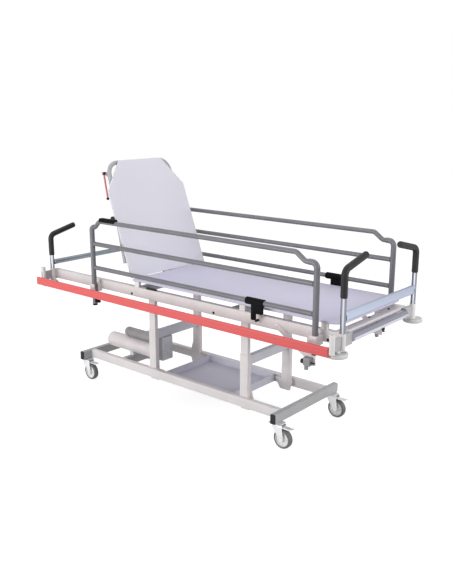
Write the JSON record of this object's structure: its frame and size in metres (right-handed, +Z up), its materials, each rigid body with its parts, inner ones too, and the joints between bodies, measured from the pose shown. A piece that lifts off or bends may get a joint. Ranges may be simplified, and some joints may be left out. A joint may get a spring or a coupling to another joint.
{
  "type": "patient transport trolley",
  "caption": "Height-adjustable patient trolley with a raised backrest, sliding side rails, push handles, a red buffer strip, telescopic columns, load tray and braked castors",
  "frame": {"origin": "on the floor, under the middle of the upper frame, midway between the handle posts", "axes": "+X along the trolley towards the foot end, +Y across it to the far side, +Z up"},
  "size_m": [2.098, 0.8165, 1.3222],
  "materials": {
    "frame_paint": "satin light powder coat",
    "hoop_paint": "satin mid grey powder coat",
    "castor_plate_steel": "dull grey zinc",
    "black_plastic": "moulded black plastic",
    "tray_paint": "satin lilac grey sheet",
    "ram_steel": "ground steel",
    "tank_paint": "satin light grey",
    "motor_paint": "satin mid grey",
    "block_metal": "satin grey cast block",
    "castor_tyre": "grey rubber tread",
    "bright_chrome": "polished chrome tube",
    "red_buffer": "soft red buffer profile",
    "board_laminate": "matt lilac grey laminate board",
    "disc_plastic": "grey moulded disc",
    "grip_rubber": "black rubber sleeve",
    "rail_paint": "satin grey powder coat",
    "lever_red": "red coated bar",
    "gas_black": "black enamel"
  },
  "bodies": {
    "base": {"base_side_tubes": "frame_paint", "base_cross_beams": "frame_paint", "base_end_caps": "black_plastic", "load_tray": "tray_paint", "outer_columns": "frame_paint", "column_ties": "frame_paint", "column_collars": "frame_paint", "ram_cylinders": "ram_steel", "pump_tank": "tank_paint", "pump_motor": "motor_paint", "pump_block": "block_metal", "castor_plates": "castor_plate_steel"},
    "lift": {"inner_columns": "frame_paint", "column_shoes": "black_plastic", "ram_rods": "ram_steel", "frame_rails": "frame_paint", "frame_cross_beams": "frame_paint", "end_tube": "bright_chrome", "corner_sockets": "frame_paint", "pole_sockets": "frame_paint", "buffer_strip": "red_buffer", "frame_fasteners": "black_plastic", "rail_guides": "frame_paint", "rail_stays": "frame_paint", "seat_board": "board_laminate", "board_supports": "frame_paint", "seat_hinges": "ram_steel"},
    "backrest": {"backrest_board": "board_laminate", "backrest_frame": "hoop_paint"},
    "lever": {"release_lever": "lever_red"},
    "gas_tube": {"gas_cylinder": "gas_black"},
    "gas_piston": {"gas_rod": "ram_steel"},
    "castor_head_near": {"castor_fork_head_near": "frame_paint"},
    "wheel_head_near": {"castor_wheel_head_near": "castor_tyre"},
    "pedal_head_near": {"brake_pedal_head_near": "frame_paint"},
    "disc_head_near": {"buffer_disc_head_near": "disc_plastic"},
    "castor_head_far": {"castor_fork_head_far": "frame_paint"},
    "wheel_head_far": {"castor_wheel_head_far": "castor_tyre"},
    "pedal_head_far": {"brake_pedal_head_far": "frame_paint"},
    "disc_head_far": {"buffer_disc_head_far": "disc_plastic"},
    "castor_foot_near": {"castor_fork_foot_near": "frame_paint"},
    "wheel_foot_near": {"castor_wheel_foot_near": "castor_tyre"},
    "pedal_foot_near": {"brake_pedal_foot_near": "frame_paint"},
    "disc_foot_near": {"buffer_disc_foot_near": "disc_plastic"},
    "castor_foot_far": {"castor_fork_foot_far": "frame_paint"},
    "wheel_foot_far": {"castor_wheel_foot_far": "castor_tyre"},
    "pedal_foot_far": {"brake_pedal_foot_far": "frame_paint"},
    "disc_foot_far": {"buffer_disc_foot_far": "disc_plastic"},
    "rail_near": {"side_rail_near": "rail_paint", "rail_trim_near": "black_plastic"},
    "latch_near": {"rail_latch_near": "black_plastic"},
    "plunger_near": {"lock_plunger_near": "black_plastic"},
    "rail_far": {"side_rail_far": "rail_paint", "rail_trim_far": "black_plastic"},
    "latch_far": {"rail_latch_far": "black_plastic"},
    "plunger_far": {"lock_plunger_far": "black_plastic"},
    "handle_head": {"handle_frame_head": "bright_chrome", "handle_grips_head": "grip_rubber"},
    "handle_foot": {"handle_frame_foot": "bright_chrome", "handle_grips_foot": "grip_rubber"}
  },
  "joints": [
    {"name": "swivel_head_near", "type": "hinge", "parent": "base", "child": "castor_head_near", "pos_m": [-0.827, -0.243, 0.115], "axis": [0, 0, 1], "continuous": true},
    {"name": "roll_head_near", "type": "hinge", "parent": "castor_head_near", "child": "wheel_head_near", "pos_m": [-0.789, -0.243, 0.05], "axis": [0, 1, 0], "continuous": true},
    {"name": "brake_head_near", "type": "hinge", "parent": "castor_head_near", "child": "pedal_head_near", "pos_m": [-0.793, -0.243, 0.1086], "axis": [0, 1, 0], "range_deg": [0, 10]},
    {"name": "disc_spin_head_near", "type": "hinge", "parent": "lift", "child": "disc_head_near", "pos_m": [-1, -0.35, 0.586], "axis": [0, 0, 1], "continuous": true},
    {"name": "swivel_head_far", "type": "hinge", "parent": "base", "child": "castor_head_far", "pos_m": [-0.827, 0.243, 0.115], "axis": [0, 0, 1], "continuous": true},
    {"name": "roll_head_far", "type": "hinge", "parent": "castor_head_far", "child": "wheel_head_far", "pos_m": [-0.789, 0.243, 0.05], "axis": [0, 1, 0], "continuous": true},
    {"name": "brake_head_far", "type": "hinge", "parent": "castor_head_far", "child": "pedal_head_far", "pos_m": [-0.793, 0.243, 0.1086], "axis": [0, 1, 0], "range_deg": [0, 10]},
    {"name": "disc_spin_head_far", "type": "hinge", "parent": "lift", "child": "disc_head_far", "pos_m": [-1, 0.35, 0.586], "axis": [0, 0, 1], "continuous": true},
    {"name": "swivel_foot_near", "type": "hinge", "parent": "base", "child": "castor_foot_near", "pos_m": [0.613, -0.243, 0.115], "axis": [0, 0, 1], "continuous": true},
    {"name": "roll_foot_near", "type": "hinge", "parent": "castor_foot_near", "child": "wheel_foot_near", "pos_m": [0.651, -0.243, 0.05], "axis": [0, 1, 0], "continuous": true},
    {"name": "brake_foot_near", "type": "hinge", "parent": "castor_foot_near", "child": "pedal_foot_near", "pos_m": [0.647, -0.243, 0.1086], "axis": [0, 1, 0], "range_deg": [0, 10]},
    {"name": "disc_spin_foot_near", "type": "hinge", "parent": "lift", "child": "disc_foot_near", "pos_m": [1, -0.35, 0.586], "axis": [0, 0, 1], "continuous": true},
    {"name": "swivel_foot_far", "type": "hinge", "parent": "base", "child": "castor_foot_far", "pos_m": [0.613, 0.243, 0.115], "axis": [0, 0, 1], "continuous": true},
    {"name": "roll_foot_far", "type": "hinge", "parent": "castor_foot_far", "child": "wheel_foot_far", "pos_m": [0.651, 0.243, 0.05], "axis": [0, 1, 0], "continuous": true},
    {"name": "brake_foot_far", "type": "hinge", "parent": "castor_foot_far", "child": "pedal_foot_far", "pos_m": [0.647, 0.243, 0.1086], "axis": [0, 1, 0], "range_deg": [0, 10]},
    {"name": "disc_spin_foot_far", "type": "hinge", "parent": "lift", "child": "disc_foot_far", "pos_m": [1, 0.35, 0.586], "axis": [0, 0, 1], "continuous": true},
    {"name": "lift_travel", "type": "slide", "parent": "base", "child": "lift", "axis": [0, 0, 1], "range_m": [-0.11, 0.04]},
    {"name": "backrest_tilt", "type": "hinge", "parent": "lift", "child": "backrest", "pos_m": [-0.344, 0, 0.699], "axis": [0, 1, 0], "range_deg": [-64, 0]},
    {"name": "release_squeeze", "type": "hinge", "parent": "backrest", "child": "lever", "pos_m": [-0.60526, -0.24, 1.25306], "axis": [0, 1, 0], "range_deg": [-14, 0], "stiffness_Nm_per_rad": 2, "springref_deg": 17.19},
    {"name": "gas_tilt", "type": "hinge", "parent": "lift", "child": "gas_tube", "pos_m": [-0.36, 0, 0.63], "axis": [0, 1, 0], "range_deg": [-57, 0]},
    {"name": "gas_stroke", "type": "slide", "parent": "gas_tube", "child": "gas_piston", "axis": [-0.4191, 0, 0.9079], "range_m": [-0.068, 0]},
    {"name": "rail_drop_near", "type": "slide", "parent": "lift", "child": "rail_near", "axis": [0, 0, 1], "range_m": [-0.18, 0]},
    {"name": "latch_swing_near", "type": "hinge", "parent": "rail_near", "child": "latch_near", "pos_m": [0.5475, -0.34, 0.739], "axis": [1, 0, 0], "range_deg": [-35, 0]},
    {"name": "plunger_pull_near", "type": "slide", "parent": "lift", "child": "plunger_near", "axis": [1, 0, 0], "range_m": [-0.012, 0], "stiffness_N_per_m": 600, "springref_m": 0.01},
    {"name": "rail_drop_far", "type": "slide", "parent": "lift", "child": "rail_far", "axis": [0, 0, 1], "range_m": [-0.18, 0]},
    {"name": "latch_swing_far", "type": "hinge", "parent": "rail_far", "child": "latch_far", "pos_m": [0.5475, 0.34, 0.739], "axis": [1, 0, 0], "range_deg": [0, 35]},
    {"name": "plunger_pull_far", "type": "slide", "parent": "lift", "child": "plunger_far", "axis": [1, 0, 0], "range_m": [-0.012, 0], "stiffness_N_per_m": 600, "springref_m": 0.01},
    {"name": "handle_lift_head", "type": "slide", "parent": "lift", "child": "handle_head", "axis": [0, 0, 1], "range_m": [0, 0.06]},
    {"name": "handle_lift_foot", "type": "slide", "parent": "lift", "child": "handle_foot", "axis": [0, 0, 1], "range_m": [0, 0.06]}
  ],
  "couplings": [
    {"joint": "gas_tilt", "follows": "backrest_tilt", "ratio": 0.8703},
    {"joint": "gas_stroke", "follows": "backrest_tilt", "m_per_rad": 0.0593}
  ]
}
